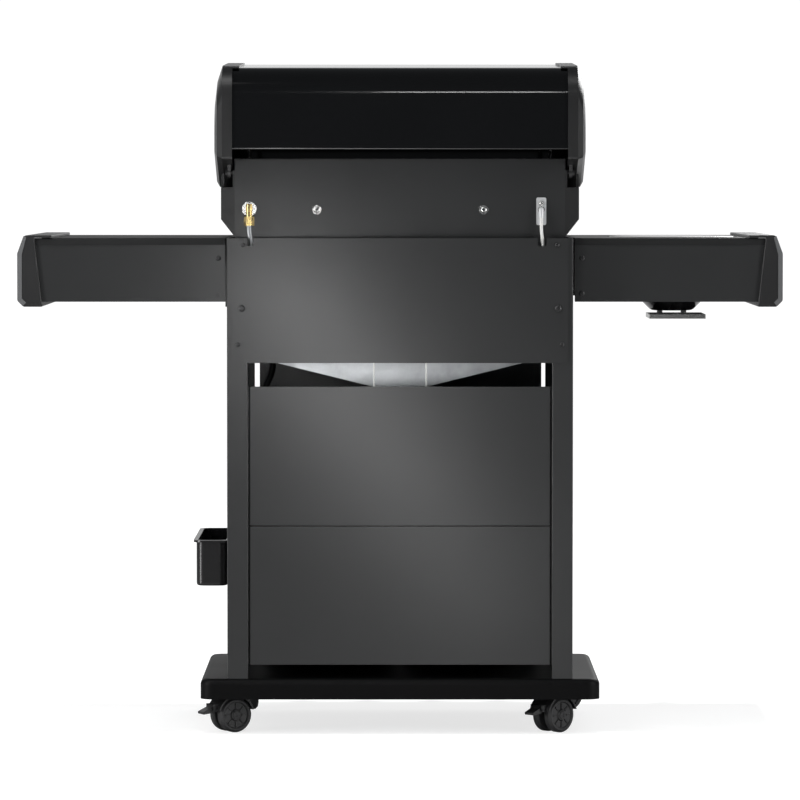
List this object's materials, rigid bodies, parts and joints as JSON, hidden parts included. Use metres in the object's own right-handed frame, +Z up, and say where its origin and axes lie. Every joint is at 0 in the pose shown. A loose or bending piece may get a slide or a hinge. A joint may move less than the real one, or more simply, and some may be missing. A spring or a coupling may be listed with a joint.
{
  "type": "gas barbecue grill",
  "caption": "Gas barbecue grill with a hinged hood, cast end caps, a two-door cabinet cart on casters, a fixed shelf with a side burner and a fold-down shelf.",
  "frame": {"origin": "on the floor, at the centre of the whole grill's box", "axes": "+Z up, the doors and knobs face -Y, the fold-down shelf is at +X"},
  "size_m": [1.38, 0.625, 1.2155],
  "materials": {
    "satin_black_panel": "satin powder coat",
    "shelf_grey": "satin powder coat",
    "lid_enamel": "gloss porcelain enamel",
    "cast_black": "satin black coat",
    "moulded_black": "fine grain",
    "caster_tread": "semi-matt",
    "stainless": "brushed",
    "galvanised": "satin",
    "bright_steel": "polished",
    "brass": "dulled",
    "bowl_enamel": "gloss enamel",
    "hose_rubber": "matt",
    "lead_sleeve": "silicone",
    "regulator_cast": "die cast"
  },
  "bodies": {
    "root": {"base_shelf": "satin_black_panel", "cart_frame": "satin_black_panel", "control_panel": "satin_black_panel", "cooking_grids": "cast_black", "drip_pan": "galvanised", "fasteners": "bright_steel", "firebox_ends": "cast_black", "firebox_tub": "satin_black_panel", "gas_inlet_fitting": "brass", "grease_cup": "stainless", "igniter_lead": "lead_sleeve", "igniter_plate": "bright_steel", "main_burners": "stainless", "manifold": "galvanised", "rear_burner": "stainless", "rear_gas_tube": "galvanised", "rear_panel_upper": "satin_black_panel", "rear_panels_lower": "satin_black_panel", "regulator": "regulator_cast", "sear_plates": "stainless", "shelf_left_cap": "moulded_black", "shelf_left_frame": "satin_black_panel", "shelf_left_top": "shelf_grey", "side_burner_bowl": "bowl_enamel", "side_burner_grate": "cast_black", "side_burner_tray": "stainless", "supply_hose": "hose_rubber", "warming_rack": "stainless"},
    "lid": {"lid_shell": "lid_enamel", "lid_end_caps": "cast_black", "lid_handle": "stainless", "thermometer": "bright_steel"},
    "door_right": {"door_right": "satin_black_panel"},
    "door_left": {"door_left": "satin_black_panel"},
    "folding_shelf": {"shelf_right_frame": "satin_black_panel", "shelf_right_top": "shelf_grey", "shelf_right_cap": "moulded_black"},
    "igniter_button": {"igniter_button": "moulded_black"},
    "side_burner_lid": {"side_burner_lid": "lid_enamel"},
    "basket": {"basket": "moulded_black"},
    "valve_burner_left": {"valve_stem_burner_left": "bright_steel"},
    "knob_burner_left": {"knob_burner_left": "moulded_black"},
    "valve_burner_middle": {"valve_stem_burner_middle": "bright_steel"},
    "knob_burner_middle": {"knob_burner_middle": "moulded_black"},
    "valve_burner_right": {"valve_stem_burner_right": "bright_steel"},
    "knob_burner_right": {"knob_burner_right": "moulded_black"},
    "valve_rear_burner": {"valve_stem_rear_burner": "bright_steel"},
    "knob_rear_burner": {"knob_rear_burner": "moulded_black"},
    "valve_side_burner": {"valve_stem_side_burner": "bright_steel"},
    "knob_side_burner": {"knob_side_burner": "moulded_black"},
    "caster_rear_right": {"caster_fork_rear_right": "moulded_black"},
    "wheels_rear_right": {"caster_wheels_rear_right": "caster_tread"},
    "brake_rear_right": {"caster_brake_rear_right": "moulded_black"},
    "caster_rear_left": {"caster_fork_rear_left": "moulded_black"},
    "wheels_rear_left": {"caster_wheels_rear_left": "caster_tread"},
    "brake_rear_left": {"caster_brake_rear_left": "moulded_black"},
    "caster_front_right": {"caster_fork_front_right": "moulded_black"},
    "wheels_front_right": {"caster_wheels_front_right": "caster_tread"},
    "caster_front_left": {"caster_fork_front_left": "moulded_black"},
    "wheels_front_left": {"caster_wheels_front_left": "caster_tread"}
  },
  "joints": [
    {"name": "lid_hinge", "type": "hinge", "parent": "root", "child": "lid", "pos_m": [0, 0.2675, 1.012], "axis": [-1, 0, 0], "range_deg": [0, 90]},
    {"name": "door_right_hinge", "type": "hinge", "parent": "root", "child": "door_right", "pos_m": [0.252, -0.1425, 0.4315], "axis": [0, 0, 1], "range_deg": [0, 110]},
    {"name": "door_left_hinge", "type": "hinge", "parent": "root", "child": "door_left", "pos_m": [-0.254, -0.1425, 0.4315], "axis": [0, 0, -1], "range_deg": [0, 110]},
    {"name": "shelf_fold", "type": "hinge", "parent": "root", "child": "folding_shelf", "pos_m": [0.328, 0.0075, 0.791], "axis": [0, 1, 0], "range_deg": [0, 88]},
    {"name": "turn_burner_left", "type": "hinge", "parent": "root", "child": "valve_burner_left", "pos_m": [-0.1875, -0.2335, 0.838], "axis": [0, -1, 0], "range_deg": [0, 180]},
    {"name": "push_burner_left", "type": "slide", "parent": "valve_burner_left", "child": "knob_burner_left", "axis": [0, 1, 0], "range_m": [0, 0.003], "stiffness_N_per_m": 800, "springref_m": -0.002},
    {"name": "turn_burner_middle", "type": "hinge", "parent": "root", "child": "valve_burner_middle", "pos_m": [-0.0625, -0.2335, 0.838], "axis": [0, -1, 0], "range_deg": [0, 180]},
    {"name": "push_burner_middle", "type": "slide", "parent": "valve_burner_middle", "child": "knob_burner_middle", "axis": [0, 1, 0], "range_m": [0, 0.003], "stiffness_N_per_m": 800, "springref_m": -0.002},
    {"name": "turn_burner_right", "type": "hinge", "parent": "root", "child": "valve_burner_right", "pos_m": [0.0625, -0.2335, 0.838], "axis": [0, -1, 0], "range_deg": [0, 180]},
    {"name": "push_burner_right", "type": "slide", "parent": "valve_burner_right", "child": "knob_burner_right", "axis": [0, 1, 0], "range_m": [0, 0.003], "stiffness_N_per_m": 800, "springref_m": -0.002},
    {"name": "turn_rear_burner", "type": "hinge", "parent": "root", "child": "valve_rear_burner", "pos_m": [0.1875, -0.2335, 0.838], "axis": [0, -1, 0], "range_deg": [0, 180]},
    {"name": "push_rear_burner", "type": "slide", "parent": "valve_rear_burner", "child": "knob_rear_burner", "axis": [0, 1, 0], "range_m": [0, 0.003], "stiffness_N_per_m": 800, "springref_m": -0.002},
    {"name": "turn_side_burner", "type": "hinge", "parent": "root", "child": "valve_side_burner", "pos_m": [-0.502, -0.2225, 0.838], "axis": [0, -1, 0], "range_deg": [0, 180]},
    {"name": "push_side_burner", "type": "slide", "parent": "valve_side_burner", "child": "knob_side_burner", "axis": [0, 1, 0], "range_m": [0, 0.003], "stiffness_N_per_m": 800, "springref_m": -0.002},
    {"name": "igniter_push", "type": "slide", "parent": "root", "child": "igniter_button", "axis": [0, 1, 0], "range_m": [0, 0.004], "stiffness_N_per_m": 500, "springref_m": -0.002},
    {"name": "side_burner_lid_hinge", "type": "hinge", "parent": "root", "child": "side_burner_lid", "pos_m": [-0.502, 0.1515, 0.891], "axis": [-1, 0, 0], "range_deg": [0, 95]},
    {"name": "basket_lift", "type": "slide", "parent": "root", "child": "basket", "axis": [0, 0, 1], "range_m": [0, 0.01]},
    {"name": "swivel_rear_right", "type": "hinge", "parent": "root", "child": "caster_rear_right", "pos_m": [0.291, 0.2355, 0.07], "axis": [0, 0, 1], "continuous": true},
    {"name": "roll_rear_right", "type": "hinge", "parent": "caster_rear_right", "child": "wheels_rear_right", "pos_m": [0.30689, 0.24395, 0.0315], "axis": [0.4695, -0.8829, 0], "continuous": true},
    {"name": "brake_pedal_rear_right", "type": "hinge", "parent": "caster_rear_right", "child": "brake_rear_right", "pos_m": [0.33868, 0.26085, 0.0455], "axis": [-0.4695, 0.8829, 0], "range_deg": [0, 14]},
    {"name": "swivel_rear_left", "type": "hinge", "parent": "root", "child": "caster_rear_left", "pos_m": [-0.291, 0.2355, 0.07], "axis": [0, 0, 1], "continuous": true},
    {"name": "roll_rear_left", "type": "hinge", "parent": "caster_rear_left", "child": "wheels_rear_left", "pos_m": [-0.27762, 0.24754, 0.0315], "axis": [0.6691, -0.7431, 0], "continuous": true},
    {"name": "brake_pedal_rear_left", "type": "hinge", "parent": "caster_rear_left", "child": "brake_rear_left", "pos_m": [-0.25087, 0.27163, 0.0455], "axis": [-0.6691, 0.7431, 0], "range_deg": [0, 14]},
    {"name": "swivel_front_right", "type": "hinge", "parent": "root", "child": "caster_front_right", "pos_m": [0.291, -0.1215, 0.07], "axis": [0, 0, 1], "continuous": true},
    {"name": "roll_front_right", "type": "hinge", "parent": "caster_front_right", "child": "wheels_front_right", "pos_m": [0.29351, -0.13932, 0.0315], "axis": [-0.9903, -0.1392, 0], "continuous": true},
    {"name": "swivel_front_left", "type": "hinge", "parent": "root", "child": "caster_front_left", "pos_m": [-0.291, -0.1215, 0.07], "axis": [0, 0, 1], "continuous": true},
    {"name": "roll_front_left", "type": "hinge", "parent": "caster_front_left", "child": "wheels_front_left", "pos_m": [-0.30791, -0.12766, 0.0315], "axis": [-0.342, 0.9397, 0], "continuous": true}
  ]
}
